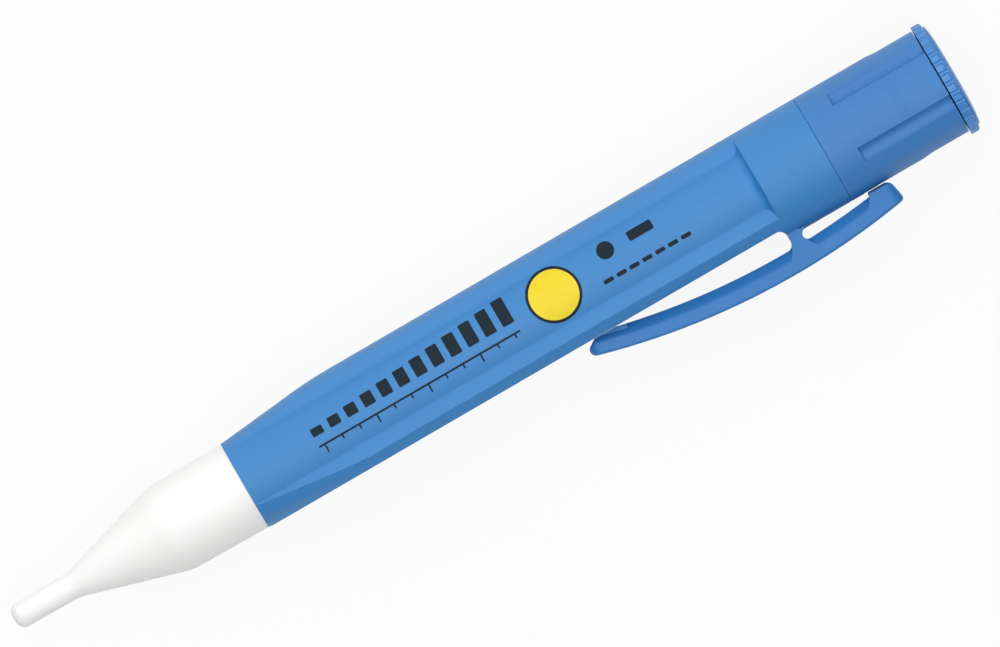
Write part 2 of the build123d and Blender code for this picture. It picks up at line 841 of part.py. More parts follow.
with BuildPart() as edge_relief:
    with BuildSketch(Plane.YZ.offset(clip_crown_x)):
        for side in (1, -1):
            bevel_way = Vector(-relief_depth, side * relief_width).normalized()
            bevel_top = (relief_high, side * (half_width - 2 * relief_width))
            foot_start = Vector(relief_low, side * half_width) - bevel_way * foot_reach
            foot_end = (relief_low - foot_reach, side * (half_width + relief_exit))
            with BuildLine():
                Line(bevel_top, foot_start)
                TangentArc(foot_start, foot_end, tangent=bevel_way)
                Polyline(
                    foot_end,
                    (relief_low - foot_reach, side * (half_width + relief_width)),
                    (relief_high, side * (half_width + relief_width)),
                    bevel_top,
                )
            make_face()
    revolve(axis=Axis((clip_crown_x, clip_inner_center_y, 0), (0, 0, 1)))
    with BuildSketch(Plane.XY):
        for start, end in [
            ((clip_tip_x - clip_width, clip_pad_y), (neck_front_x, clip_inner_y)),
            ((neck_rear_x, clip_inner_y), (knob_front_x, arm_rear_y)),
        ]:
            with BuildLine():
                Polyline(
                    (start[0], 0),
                    start,
                    (start[0] + 2 * relief_fade, start[1] - 2 * relief_depth),
                    (start[0] + 2 * relief_fade, -2 * clip_crown),
                    (end[0] - 2 * relief_fade, -2 * clip_crown),
                    (end[0] - 2 * relief_fade, end[1] - 2 * relief_depth),
                    end,
                    (end[0], 0),
                    close=True,
                )
            make_face()
    extrude(amount=clip_width, both=True, mode=Mode.INTERSECT)

# Rear face of the clip: a line that leans towards the cap
lean = tan(radians(tail_lean))
knob_y = -body_radius - knob_gap
heel_y = clip_outer_center_y - on_circle(clip_outer_arc, clip_rear_x - clip_crown_x) + heel_rise
tail_top_x = clip_rear_x - lean * (knob_y - heel_y)
tail_far_x = clip_rear_x + lean * (2 * clip_crown + heel_y)

# Round gusset behind the neck, hollowed to clear the collar when the clip rocks
gusset_x = neck_x + clip_neck_width / 2
gusset_rear_x = gusset_x + gusset_radius
gusset_low = -body_radius - gusset_radius
gusset_high = -body_radius + gusset_radius

with BuildPart() as neck_gusset:
    with BuildSketch(Plane.XY):
        with BuildLine():
            RadiusArc((gusset_x, gusset_low), (gusset_rear_x, -body_radius), gusset_radius)
            Polyline(
                (gusset_rear_x, -body_radius),
                (gusset_rear_x, gusset_high),
                (neck_x, gusset_high),
                (neck_x, gusset_low),
                (gusset_x, gusset_low),
            )
        make_face()
    extrude(amount=half_width, both=True)
    with BuildSketch(Plane.YZ.offset(neck_x)):
        Circle(body_radius + gusset_room)
    extrude(amount=clip_width, both=True, mode=Mode.SUBTRACT)

# Knob: the rib on the tail that sinks into the cap's long flute
with BuildPart() as tail_knob:
    with BuildSketch(Plane.XY) as knob_profile:
        with BuildLine():
            Polyline(
                (knob_front_x, knob_y - tail_depth),
                (knob_front_x, knob_y),
                (tail_top_x, knob_y),
                (tail_top_x + lean * tail_depth, knob_y - tail_depth),
                close=True,
            )
        make_face()
        fillet(corner(knob_profile, knob_front_x, knob_y), tail_corner)
        fillet(corner(knob_profile, tail_top_x, knob_y), tail_round)
    extrude(amount=knob_width / 2, both=True)
    knob_rim = tail_knob.faces().filter_by(Axis.Z).edges()
    knob_base = tail_knob.faces().sort_by(Axis.Y)[0].edges()
    fillet(knob_rim - knob_base, knob_edge)

# Clip: the arched bar with its pad, tail, and neck with a half-round root
with BuildPart() as pocket_clip:
    with BuildSketch(Plane.XY) as clip_profile:
        with Locations((clip_crown_x, clip_outer_center_y)):
            Circle(clip_outer_arc)
        with Locations((clip_crown_x, clip_inner_center_y)):
            Circle(clip_inner_arc, mode=Mode.SUBTRACT)
        with Locations((knob_front_x, knob_y - tail_depth)):
            Rectangle(2 * tail_length, 2 * tail_depth, align=Align.MIN)
        with BuildLine():
            slope_x = clip_pad_front_x - clip_tip_reach * cos(radians(clip_tip_angle))
            slope_y = clip_pad_y - clip_tip_reach * sin(radians(clip_tip_angle))
            Polyline(
                (clip_pad_front_x, clip_pad_y),
                (slope_x, slope_y),
                (slope_x, -2 * clip_crown),
                (tail_far_x, -2 * clip_crown),
                (tail_top_x, knob_y),
                (knob_front_x - tail_length, knob_y),
                (knob_front_x - tail_length, clip_pad_y),
                close=True,
            )
        make_face(mode=Mode.INTERSECT)
        with Locations((neck_x, -clip_seat_height)):
            Circle(clip_neck_width / 2)
            Rectangle(
                clip_neck_width,
                -clip_inner_y - clip_seat_height + clip_thickness / 2,
                align=(Align.CENTER, Align.MAX),
            )
        fillet(corner(clip_profile, neck_x - clip_neck_width / 2, clip_inner_y), clip_neck_fillet)
        fillet(corner(clip_profile, gusset_x, clip_inner_y), clip_neck_rear_fillet)
        fillet(corner(clip_profile, slope_x, -clip_crown / 2), clip_tip_radius)
        fillet(corner(clip_profile, clip_rear_x, -clip_crown), heel_radius)
        fillet(corner(clip_profile, tail_top_x, knob_y), tail_round)
        fillet(corner(clip_profile, knob_front_x, knob_y), tail_corner)
    extrude(amount=half_width, both=True)
    front_x = clip_profile.face().bounding_box().min.X - clip_plan_room
    with BuildSketch(Plane.XZ):
        with Locations(((front_x + clip_rear_x) / 2, 0)):
            RectangleRounded(clip_rear_x - front_x, clip_width, clip_plan_corner)
    extrude(amount=2 * clip_crown, both=True, mode=Mode.INTERSECT)
    back_edges = pocket_clip.faces().sort_by(Axis.Y)[0].edges()
    fillet(back_edges.filter_by(lambda edge: abs(edge.center().Z) > half_width / 2), clip_edge_radius)
    with BuildSketch(Plane.XZ.offset(-clip_pad_y)):
        with Locations((clip_pad_rear_x, 0)):
            Rectangle(clip_front_arm, clip_pad_width, align=(Align.MAX, Align.CENTER))
    pad_block = extrude(amount=clip_crown, mode=Mode.PRIVATE)
    pad = pocket_clip.part & pad_block
    add(edge_relief.part, mode=Mode.SUBTRACT)
    add(pad)
    with BuildSketch(Plane.YZ.offset(knob_front_x)):
        Circle(body_radius + tail_room)
    extrude(amount=2 * tail_length, mode=Mode.SUBTRACT)
    add(tail_knob.part)
    add(neck_gusset.part)

pieces = {
    "barrel": barrel,
    "nose_cone": nose_cone,
    "circuit_board": circuit_board,
    "field_sensor": field_sensor,
    "indicator_led": indicator_led,
    "control_chip": control_chip,
    "chip_resistors": chip_resistors,
    "chip_capacitors": chip_capacitors,
    "contact_carrier": contact_carrier,
    "front_contact": front_contact,
    "battery_cell_front": battery_cell_front,
    "battery_cell_rear": battery_cell_rear,
    "return_strip": return_strip,
    "cap_seal": cap_seal,
    "pocket_clip": pocket_clip,
    "rear_cap": rear_cap,
    "shaft_seal": shaft_seal,
    "cap_contact_ring": cap_contact_ring,
    "spring_plate": spring_plate,
    "battery_spring": battery_spring,
    "switch_wheel": switch_wheel,
    "retaining_ring": retaining_ring,
    "switch_rotor": switch_rotor,
    "rotor_wiper": rotor_wiper,
}

os.makedirs("parts", exist_ok=True)
for name, piece in pieces.items():
    piece.part.label = name
    export_step(piece.part, f"parts/{name}.step")
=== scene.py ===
import math
import bmesh
import bpy
from mathutils import Matrix, Vector


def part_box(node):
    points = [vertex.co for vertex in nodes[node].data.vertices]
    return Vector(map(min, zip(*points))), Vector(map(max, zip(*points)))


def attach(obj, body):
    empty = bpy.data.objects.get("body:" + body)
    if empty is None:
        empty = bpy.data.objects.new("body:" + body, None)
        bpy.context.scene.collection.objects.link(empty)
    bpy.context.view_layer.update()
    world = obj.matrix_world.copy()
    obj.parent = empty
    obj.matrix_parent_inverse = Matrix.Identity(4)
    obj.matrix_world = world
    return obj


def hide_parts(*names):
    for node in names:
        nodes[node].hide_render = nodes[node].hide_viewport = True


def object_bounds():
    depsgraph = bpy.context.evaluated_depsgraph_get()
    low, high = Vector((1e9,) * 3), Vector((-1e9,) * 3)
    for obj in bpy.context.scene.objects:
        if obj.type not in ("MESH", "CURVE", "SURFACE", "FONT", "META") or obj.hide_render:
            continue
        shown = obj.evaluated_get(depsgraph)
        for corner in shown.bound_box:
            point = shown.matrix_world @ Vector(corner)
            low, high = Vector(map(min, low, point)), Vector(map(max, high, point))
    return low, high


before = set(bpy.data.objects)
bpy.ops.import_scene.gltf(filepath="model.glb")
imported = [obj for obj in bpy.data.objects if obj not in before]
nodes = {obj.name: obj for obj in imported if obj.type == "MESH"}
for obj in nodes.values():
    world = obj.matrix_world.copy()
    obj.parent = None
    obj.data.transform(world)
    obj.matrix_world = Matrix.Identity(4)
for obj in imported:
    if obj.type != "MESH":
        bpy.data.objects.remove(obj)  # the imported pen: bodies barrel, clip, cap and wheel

mm = 0.001  # sizes below are in millimetres, Blender works in metres
cadLow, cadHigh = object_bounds()  # the CAD box
print("frame loaded:", len(nodes), "pieces")

# A Mix node has sockets of the same names for numbers and for colours, so they are counted
numberA, numberB = 2, 3
colourA, colourB, colourOut = 6, 7, 2


def linear(hexColour):
    channels = [int(hexColour[place:place + 2], 16) / 255 for place in (1, 3, 5)]
    # sRGB's own curve, with its straight foot
    values = [c / 12.92 if c <= 0.04045 else ((c + 0.055) / 1.055) ** 2.4 for c in channels]
    return (*values, 1.0)


def perMetre(sizeMm):
    return 1 / (sizeMm * mm)  # texture scale that makes one feature about sizeMm wide


def addNode(tree, kind, settings=None, links=None):
    node = tree.nodes.new(kind)
    for key, value in (settings or {}).items():
        if isinstance(key, int) or key in node.inputs:
            node.inputs[key].default_value = value
        else:
            setattr(node, key, value)
    for key, source in (links or {}).items():
        tree.links.new(source, node.inputs[key])
    return node


def newMaterial(name):
    material = bpy.data.materials.new(name)
    material.use_nodes = True
    material.node_tree.nodes.clear()
    return material, material.node_tree


def pieceFrom(shape, name, material):
    mesh = bpy.data.meshes.new(name)
    shape.to_mesh(mesh)
    shape.free()
    mesh.materials.append(material)
    piece = bpy.data.objects.new(name, mesh)
    bpy.context.scene.collection.objects.link(piece)
    return piece


# Share of a surface that lies beyond a plane, or beyond two planes at equal distances from a
# middle one: where leads, end caps or a bare can start
def beyondPlane(tree, place, bare):
    parts = addNode(tree, "ShaderNodeSeparateXYZ", None, {0: place})
    offset = addNode(tree, "ShaderNodeMath", {"operation": "SUBTRACT", 1: bare["middle"]},
                     {0: parts.outputs[bare["axis"]]})
    if bare["bothSides"]:
        offset = addNode(tree, "ShaderNodeMath", {"operation": "ABSOLUTE"}, {0: offset.outputs[0]})
    return addNode(tree, "ShaderNodeMath", {"operation": "GREATER_THAN", 1: bare["beyond"]},
                   {0: offset.outputs[0]}).outputs[0]


# Moulded plastic or rubber: the surface is the satin texture of its tool. The eye gets a fine even
# grain, a broad soft sheen and a faint cloudiness of the colour where the melt flowed.
mouldedBase = {"ior": 1.54, "glossSpread": 0.04}


def moulded(name, look):
    material, tree = newMaterial(name)
    place = addNode(tree, "ShaderNodeTexCoord").outputs["Object"]
    flow = addNode(tree, "ShaderNodeTexNoise",
                   {"Scale": perMetre(look["flowMm"]), "Detail": 2.0, "Roughness": 0.5},
                   {"Vector": place})
    colour = addNode(tree, "ShaderNodeMix",
                     {"data_type": "RGBA", colourA: linear(look["deep"]), colourB: linear(look["pale"])},
                     {0: flow.outputs[0]})
    patch = addNode(tree, "ShaderNodeTexNoise",
                    {"Scale": perMetre(look["patchMm"]), "Detail": 3.0}, {"Vector": place})
    gloss = addNode(tree, "ShaderNodeMapRange",
                    {"To Min": look["roughness"] - mouldedBase["glossSpread"],
                     "To Max": look["roughness"] + mouldedBase["glossSpread"]},
                    {"Value": patch.outputs[0]})
    # the real spark-eroded grain is about 0.1 mm, drawn coarser so that it shows at all
    grain = addNode(tree, "ShaderNodeTexNoise",
                    {"Scale": perMetre(look["grainMm"]), "Detail": 2.0, "Roughness": 0.6},
                    {"Vector": place})
    bump = addNode(tree, "ShaderNodeBump",
                   {"Strength": look["grainStrength"], "Distance": look["grainDeepMm"] * mm},
                   {"Height": grain.outputs[0]})
    surface = addNode(tree, "ShaderNodeBsdfPrincipled",
                      {"IOR": mouldedBase["ior"], "Specular IOR Level": look["sheen"],
                       "Subsurface Weight": look.get("scatter", 0.0),
                       "Subsurface Radius": look.get("scatterMm", (1.0, 1.0, 1.0)),
                       "Subsurface Scale": mm},
                      {"Base Color": colour.outputs[colourOut], "Roughness": gloss.outputs["Result"],
                       "Normal": bump.outputs[0]})
    addNode(tree, "ShaderNodeOutputMaterial", None, {"Surface": surface.outputs[0]})
    return material


# Rolled or drawn sheet and wire: fine streaks along the rolling direction, duller patches
# where the surface has been handled or has tarnished
metalBase = {"polishedBy": 0.06, "dulledBy": 0.1, "streakStrength": 0.25}


def rolledMetal(name, look):
    material, tree = newMaterial(name)
    place = addNode(tree, "ShaderNodeTexCoord").outputs["Object"]
    along = addNode(tree, "ShaderNodeMapping", {"Scale": look["streakStretch"]}, {"Vector": place})
    streak = addNode(tree, "ShaderNodeTexNoise",
                     {"Scale": perMetre(look["streakMm"]), "Detail": 3.0}, {"Vector": along.outputs[0]})
    tarnish = addNode(tree, "ShaderNodeTexNoise",
                      {"Scale": perMetre(look["tarnishMm"]), "Detail": 4.0}, {"Vector": place})
    colour = addNode(tree, "ShaderNodeMix",
                     {"data_type": "RGBA", colourA: linear(look["dull"]), colourB: linear(look["bright"])},
                     {0: tarnish.outputs[0]})
    gloss = addNode(tree, "ShaderNodeMapRange",
                    {"To Min": look["roughness"] - metalBase["polishedBy"],
                     "To Max": look["roughness"] + metalBase["dulledBy"]},
                    {"Value": tarnish.outputs[0]})
    bump = addNode(tree, "ShaderNodeBump",
                   {"Strength": metalBase["streakStrength"], "Distance": look["streakDeepMm"] * mm},
                   {"Height": streak.outputs[0]})
    surface = addNode(tree, "ShaderNodeBsdfPrincipled", {"Metallic": 1.0},
                      {"Base Color": colour.outputs[colourOut], "Roughness": gloss.outputs["Result"],
                       "Normal": bump.outputs[0]})
    addNode(tree, "ShaderNodeOutputMaterial", None, {"Surface": surface.outputs[0]})
    return material


# A body of one stuff with bare bright metal beyond a plane, such as a chip with its leads, a lamp
# with its wires or a cell with its can: the body is faintly mottled and both have a fine grain
bodyBase = {"ior": 1.54, "grainStrength": 0.3}


def bodyAndMetal(name, look, bare):
    material, tree = newMaterial(name)
    place = addNode(tree, "ShaderNodeTexCoord").outputs["Object"]
    metal = beyondPlane(tree, place, bare)
    mottle = addNode(tree, "ShaderNodeTexNoise",
                     {"Scale": perMetre(look["mottleMm"]), "Detail": 3.0}, {"Vector": place})
    body = addNode(tree, "ShaderNodeMix",
                   {"data_type": "RGBA", colourA: linear(look["deep"]), colourB: linear(look["pale"])},
                   {0: mottle.outputs[0]})
    colour = addNode(tree, "ShaderNodeMix", {"data_type": "RGBA", colourB: linear(look["metal"])},
                     {0: metal, colourA: body.outputs[colourOut]})
    gloss = addNode(tree, "ShaderNodeMix",
                    {"data_type": "FLOAT", numberA: look["roughness"], numberB: look["metalRoughness"]},
                    {0: metal})
    grain = addNode(tree, "ShaderNodeTexNoise",
                    {"Scale": perMetre(look["grainMm"]), "Detail": 2.0}, {"Vector": place})
    bump = addNode(tree, "ShaderNodeBump",
                   {"Strength": bodyBase["grainStrength"], "Distance": look["grainDeepMm"] * mm},
                   {"Height": grain.outputs[0]})
    surface = addNode(tree, "ShaderNodeBsdfPrincipled", {"IOR": bodyBase["ior"]},
                      {"Base Color": colour.outputs[colourOut], "Metallic": metal,
                       "Roughness": gloss.outputs[0], "Normal": bump.outputs[0]})
    if "clear" in look:  # light passes the body but not the metal
        clear = addNode(tree, "ShaderNodeMix",
                        {"data_type": "FLOAT", numberA: look["clear"], numberB: 0.0}, {0: metal})
        tree.links.new(clear.outputs[0], surface.inputs["Transmission Weight"])
    addNode(tree, "ShaderNodeOutputMaterial", None, {"Surface": surface.outputs[0]})
    return material


# ABS: the barrel and cap are two mouldings in blues a shade apart, from textured tools
satinTool = {"patchMm": 4.0, "roughness": 0.5, "sheen": 0.38,
             "grainMm": 0.35, "grainStrength": 0.5, "grainDeepMm": 0.03}
blueAbs = moulded("blueMouldedAbs", {**satinTool, "pale": "#3984C5", "deep": "#337EBE", "flowMm": 16.0})
capAbs = moulded("capMouldedAbs", {**satinTool, "pale": "#3A7EC1", "deep": "#3478BA", "flowMm": 12.0})
# the clip is the barrel's blue drawn a shade darker: painted shade, for the light its side face misses
clipPaintedShadeAbs = moulded("clipAbsWithPaintedShade", {**satinTool, "pale": "#2E7ABF", "deep": "#2873B7", "flowMm": 12.0})
# the wheel comes from a smoother tool, so that its teeth catch the light
# its blue is drawn lighter than the barrel's: painted highlight, for the glints on its teeth
wheelPaintedHighlightAbs = moulded("wheelAbsWithPaintedHighlight", {
    "pale": "#3E88CE", "deep": "#3882C6", "flowMm": 6.0, "patchMm": 3.0, "roughness": 0.36,
    "sheen": 0.5, "grainMm": 0.35, "grainStrength": 0.2, "grainDeepMm": 0.03})
# the white nose is thin enough to let a little light through
whiteAbs = moulded("whiteMouldedAbs", {
    "pale": "#F5F5F4", "deep": "#F1F1EF", "flowMm": 10.0, "patchMm": 4.0, "roughness": 0.45,
    "sheen": 0.45, "grainMm": 0.4, "grainStrength": 0.25, "grainDeepMm": 0.03,
    "scatter": 0.25, "scatterMm": (1.4, 1.3, 1.2)})
print("moulded plastics made")

# Glass-filled nylon: dull black, with fibres that make it a little uneven
blackNylon = moulded("blackMouldedNylon", {
    "pale": "#34353A", "deep": "#2A2B2F", "flowMm": 3.0, "patchMm": 1.2, "roughness": 0.55,
    "sheen": 0.4, "grainMm": 0.2, "grainStrength": 0.3, "grainDeepMm": 0.03})
# Nitrile rubber: moulded, matte and dusty grey-black
sealRubber = moulded("nitrileRubber", {
    "pale": "#2C2C2D", "deep": "#222223", "flowMm": 2.0, "patchMm": 0.8, "roughness": 0.72,
    "sheen": 0.3, "grainMm": 0.25, "grainStrength": 0.2, "grainDeepMm": 0.02})
# Nickel plate on steel: bright, slightly warm, with drawn streaks
nickelPlate = rolledMetal("nickelPlatedSteel", {
    "bright": "#D0CDC6", "dull": "#B4B0A8", "roughness": 0.26, "streakMm": 0.3,
    "streakDeepMm": 0.01, "tarnishMm": 2.5, "streakStretch": (1.0, 1.0, 0.12)})
# Rolled brass strip: yellow, with brown tarnish in patches
rolledBrass = rolledMetal("rolledBrass", {
    "bright": "#E0BE70", "dull": "#B08A45", "roughness": 0.3, "streakMm": 0.35,
    "streakDeepMm": 0.01, "tarnishMm": 3.0, "streakStretch": (0.08, 1.0, 1.0)})
# Phosphated spring steel: dark grey and dull
springSteel = rolledMetal("phosphatedSpringSteel", {
    "bright": "#86868A", "dull": "#626266", "roughness": 0.42, "streakMm": 0.25,
    "streakDeepMm": 0.01, "tarnishMm": 1.5, "streakStretch": (1.0, 0.2, 1.0)})
print("rubber, nylon and metals made")

finishes = {
    "barrel": blueAbs, "pocket_clip": clipPaintedShadeAbs, "rear_cap": capAbs, "switch_wheel": wheelPaintedHighlightAbs,
    "nose_cone": whiteAbs, "contact_carrier": blackNylon, "switch_rotor": blackNylon,
    "cap_seal": sealRubber, "shaft_seal": sealRubber, "front_contact": nickelPlate,
    "spring_plate": nickelPlate, "return_strip": rolledBrass, "cap_contact_ring": rolledBrass,
    "rotor_wiper": rolledBrass, "retaining_ring": springSteel,
}

# Chip bodies are matte moulded epoxy, the lamp clear red cast epoxy, the capacitors fired
# ceramic; all have tinned ends or leads. Where these start is counted from each node's box:
# beyond bodyMm, the size of the body in the middle, or further than frontMm from the front.
tinnedLead = {"metal": "#C9CACB", "metalRoughness": 0.3}
tinnedEnd = {"metal": "#CFCFD0", "metalRoughness": 0.3}
chipLooks = {
    "control_chip": {**tinnedLead, "deep": "#1E1E20", "pale": "#28282A", "mottleMm": 0.6,
                     "roughness": 0.6, "grainMm": 0.12, "grainDeepMm": 0.01, "axis": 1, "bodyMm": 3.9},
    "field_sensor": {**tinnedLead, "deep": "#1C1C1E", "pale": "#262628", "mottleMm": 0.5,
                     "roughness": 0.6, "grainMm": 0.1, "grainDeepMm": 0.01, "axis": 0, "frontMm": 1.62},
    "chip_resistors": {**tinnedEnd, "deep": "#1F1F21", "pale": "#2B2B2D", "mottleMm": 0.4,
                       "roughness": 0.4, "grainMm": 0.1, "grainDeepMm": 0.005, "axis": 0, "bodyMm": 1.0},
    "chip_capacitors": {**tinnedEnd, "deep": "#A98A66", "pale": "#BB9C77", "mottleMm": 0.3,
                        "roughness": 0.5, "grainMm": 0.1, "grainDeepMm": 0.005, "axis": 0, "bodyMm": 1.2},
    "indicator_led": {**tinnedLead, "deep": "#D8241C", "pale": "#E4322A", "mottleMm": 2.0,
                      "roughness": 0.1, "grainMm": 0.3, "grainDeepMm": 0.002, "axis": 0, "frontMm": 5.21,
                      "clear": 0.6},
}
for nodeName, look in chipLooks.items():
    low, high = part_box(nodeName)
    axis = look["axis"]
    if "bodyMm" in look:
        bare = {"axis": axis, "middle": (low[axis] + high[axis]) / 2, "beyond": look["bodyMm"] * mm / 2,
                "bothSides": True}
    else:
        bare = {"axis": axis, "middle": low[axis], "beyond": look["frontMm"] * mm, "bothSides": False}
    finishes[nodeName] = bodyAndMetal(nodeName.replace("_", "") + "Finish", look, bare)

# Cells: a plain dark printed film on a steel can that is bare at the nub and the flat end
cellLook = {"deep": "#2E3338", "pale": "#373C42", "mottleMm": 8.0, "roughness": 0.32,
            "metal": "#CFCDC8", "metalRoughness": 0.24, "grainMm": 0.5, "grainDeepMm": 0.004,
            "nubMm": 1.7, "endMm": 0.45}
for nodeName in ("battery_cell_front", "battery_cell_rear"):
    low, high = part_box(nodeName)
    filmFront = low.x + cellLook["nubMm"] * mm
    filmRear = high.x - cellLook["endMm"] * mm
    bare = {"axis": 0, "middle": (filmFront + filmRear) / 2, "beyond": (filmRear - filmFront) / 2,
            "bothSides": True}
    finishes[nodeName] = bodyAndMetal(nodeName.replace("_", "") + "Film", cellLook, bare)
print("chips, lamp and cells finished")


# Glass-epoxy laminate under green solder mask: glossy, with copper tracks that show as paler lines
boardLook = {"mask": "#1F5A35", "track": "#2F7A4A", "trackMm": 1.6, "trackShare": 0.12,
             "trackStrength": 0.4, "trackHighMm": 0.03, "weaveMm": 0.45, "ior": 1.5,
             "glossiest": 0.24, "dullest": 0.36}


def solderMask():
    material, tree = newMaterial("greenSolderMask")
    place = addNode(tree, "ShaderNodeTexCoord").outputs["Object"]
    cells = addNode(tree, "ShaderNodeTexVoronoi",
                    {"feature": "DISTANCE_TO_EDGE", "Scale": perMetre(boardLook["trackMm"])},
                    {"Vector": place})
    track = addNode(tree, "ShaderNodeMath", {"operation": "LESS_THAN", 1: boardLook["trackShare"]},
                    {0: cells.outputs["Distance"]})
    colour = addNode(tree, "ShaderNodeMix",
                     {"data_type": "RGBA", colourA: linear(boardLook["mask"]),
                      colourB: linear(boardLook["track"])},
                     {0: track.outputs[0]})
    weave = addNode(tree, "ShaderNodeTexNoise", {"Scale": perMetre(boardLook["weaveMm"])},
                    {"Vector": place})
    gloss = addNode(tree, "ShaderNodeMapRange",
                    {"To Min": boardLook["glossiest"], "To Max": boardLook["dullest"]},
                    {"Value": weave.outputs[0]})
    bump = addNode(tree, "ShaderNodeBump",
                   {"Strength": boardLook["trackStrength"], "Distance": boardLook["trackHighMm"] * mm},
                   {"Height": track.outputs[0]})
    surface = addNode(tree, "ShaderNodeBsdfPrincipled", {"IOR": boardLook["ior"]},
                      {"Base Color": colour.outputs[colourOut], "Roughness": gloss.outputs["Result"],
                       "Normal": bump.outputs[0]})
    addNode(tree, "ShaderNodeOutputMaterial", None, {"Surface": surface.outputs[0]})
    return material


finishes["circuit_board"] = solderMask()
for nodeName, finish in finishes.items():
    nodes[nodeName].data.materials.clear()
    nodes[nodeName].data.materials.append(finish)
print("finishes given to", len(finishes), "pieces")

# Pocket clip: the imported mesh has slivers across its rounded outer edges, so a merged copy has
# the triangles there turned to follow the rounding
clipSkin = {"edgeRoundMm": 0.5, "slackMm": 0.01, "mergeMm": 0.001, "sharpDegrees": 35.0}
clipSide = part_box("pocket_clip")[1].z - clipSkin["slackMm"] * mm
roundStart = clipSide - clipSkin["edgeRoundMm"] * mm
shape = bmesh.new()
shape.from_mesh(nodes["pocket_clip"].data)
bmesh.ops.remove_doubles(shape, verts=shape.verts, dist=clipSkin["mergeMm"] * mm)
innermost = {face: min(abs(vert.co.z) for vert in face.verts) for face in shape.faces}
roundFaces = [face for face in shape.faces if roundStart < innermost[face] < clipSide]
roundSet = set(roundFaces)
roundEdges = [edge for edge in shape.edges if all(face in roundSet for face in edge.link_faces)]
bmesh.ops.beautify_fill(shape, faces=roundFaces, edges=roundEdges, method="ANGLE")
shape.normal_update()
for face in shape.faces:
    face.smooth = True
for edge in shape.edges:
    edge.smooth = edge.calc_face_angle(0) < math.radians(clipSkin["sharpDegrees"])
clipPiece = pieceFrom(shape, "pocketClipSkin", finishes["pocket_clip"])
packedShade = clipPiece.data.attributes.get("custom_normal")
if packedShade:
    clipPiece.data.attributes.remove(packedShade)
evenShade = clipPiece.modifiers.new("evenShade", "WEIGHTED_NORMAL")
evenShade.keep_sharp = True
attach(clipPiece, "clip")
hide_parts("pocket_clip")
print("pocket clip skinned:", len(roundFaces), "faces turned")

# Battery spring: nickel-plated wire wound in an open coil
coil = {"wireMm": 0.6, "turns": 3, "stepsPerTurn": 36, "wireSides": 14, "mergeMm": 0.001}
coilLow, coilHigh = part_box("battery_spring")
wireRadius = coil["wireMm"] * mm / 2
coilRadius = (coilHigh.y - coilLow.y) / 2 - wireRadius
coilLength = coilHigh.x - coilLow.x - 2 * wireRadius
coilSteps = coil["turns"] * coil["stepsPerTurn"]
coilStart = Matrix.Translation((coilHigh.x - wireRadius, coilRadius, 0))
shape = bmesh.new()
bmesh.ops.create_circle(shape, cap_ends=True, segments=coil["wireSides"], radius=wireRadius)
bmesh.ops.transform(shape, matrix=coilStart, verts=shape.verts)
bmesh.ops.spin(shape, geom=shape.verts[:] + shape.edges[:] + shape.faces[:],
               cent=(0, 0, 0), axis=(1, 0, 0), dvec=(-coilLength / coilSteps, 0, 0),
               angle=2 * math.pi * coil["turns"], steps=coilSteps)
bmesh.ops.remove_doubles(shape, verts=shape.verts, dist=coil["mergeMm"] * mm)
bmesh.ops.recalc_face_normals(shape, faces=shape.faces)
for face in shape.faces:
    face.smooth = len(face.verts) == 4  # the wire's two cut ends stay flat
coilPiece = pieceFrom(shape, "batterySpringCoil", nickelPlate)
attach(coilPiece, "cap")
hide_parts("battery_spring")
print("battery spring wound:", len(coilPiece.data.polygons), "faces")


# Pad-printed ink: thin and matte, with a faint unevenness from the pad
inkBase = {"ior": 1.5, "glossSpread": 0.06}


def padPrint(name, look):
    material, tree = newMaterial(name)
    place = addNode(tree, "ShaderNodeTexCoord").outputs["Object"]
    cover = addNode(tree, "ShaderNodeTexNoise",
                    {"Scale": perMetre(look["coverMm"]), "Detail": 3.0}, {"Vector": place})
    colour = addNode(tree, "ShaderNodeMix",
                     {"data_type": "RGBA", colourA: linear(look["deep"]), colourB: linear(look["pale"])},
                     {0: cover.outputs[0]})
    gloss = addNode(tree, "ShaderNodeMapRange",
                    {"To Min": look["roughness"] - inkBase["glossSpread"],
                     "To Max": look["roughness"] + inkBase["glossSpread"]},
                    {"Value": cover.outputs[0]})
    surface = addNode(tree, "ShaderNodeBsdfPrincipled",
                      {"IOR": inkBase["ior"], "Specular IOR Level": look["sheen"]},
                      {"Base Color": colour.outputs[colourOut], "Roughness": gloss.outputs["Result"]})
    addNode(tree, "ShaderNodeOutputMaterial", None, {"Surface": surface.outputs[0]})
    return material


darkInk = padPrint("darkPadPrint", {
    "deep": "#121F2B", "pale": "#1A2A38", "coverMm": 0.8, "roughness": 0.55, "sheen": 0.15})
yellowInk = padPrint("yellowPadPrint", {
    "deep": "#E6CC20", "pale": "#EED72C", "coverMm": 1.2, "roughness": 0.45, "sheen": 0.3})

# Print in the label recess: marks lie on the round floor, of this radius, a little proud of it.
# They are sliced along the pen, out to the reach on both sides, so that they follow its curve.
printBed = {"floorRadiusMm": 6.6, "proudMm": 0.02, "sunkMm": 0.05, "cornerMm": 0.18, "cornerSteps": 3,
            "discSides": 64, "sliceMm": 0.25, "reachMm": 6.0, "onSliceMm": 0.0001}


def layBar(shape, fromMm, toMm, roundMm):
    lengthMm, widthMm = toMm[0] - fromMm[0], toMm[1] - fromMm[1]
    place = Matrix.Translation(((fromMm[0] + toMm[0]) / 2 * mm, (fromMm[1] + toMm[1]) / 2 * mm, 0))
    size = Matrix.Diagonal((lengthMm * mm, widthMm * mm, 1.0, 1.0))
    bar = bmesh.ops.create_grid(shape, x_segments=1, y_segments=1, size=0.5, matrix=place @ size)
    if roundMm:
        bmesh.ops.bevel(shape, geom=bar["verts"], offset=roundMm * mm, offset_type="OFFSET",
                        segments=printBed["cornerSteps"], profile=0.5, affect="VERTICES", material=-1)


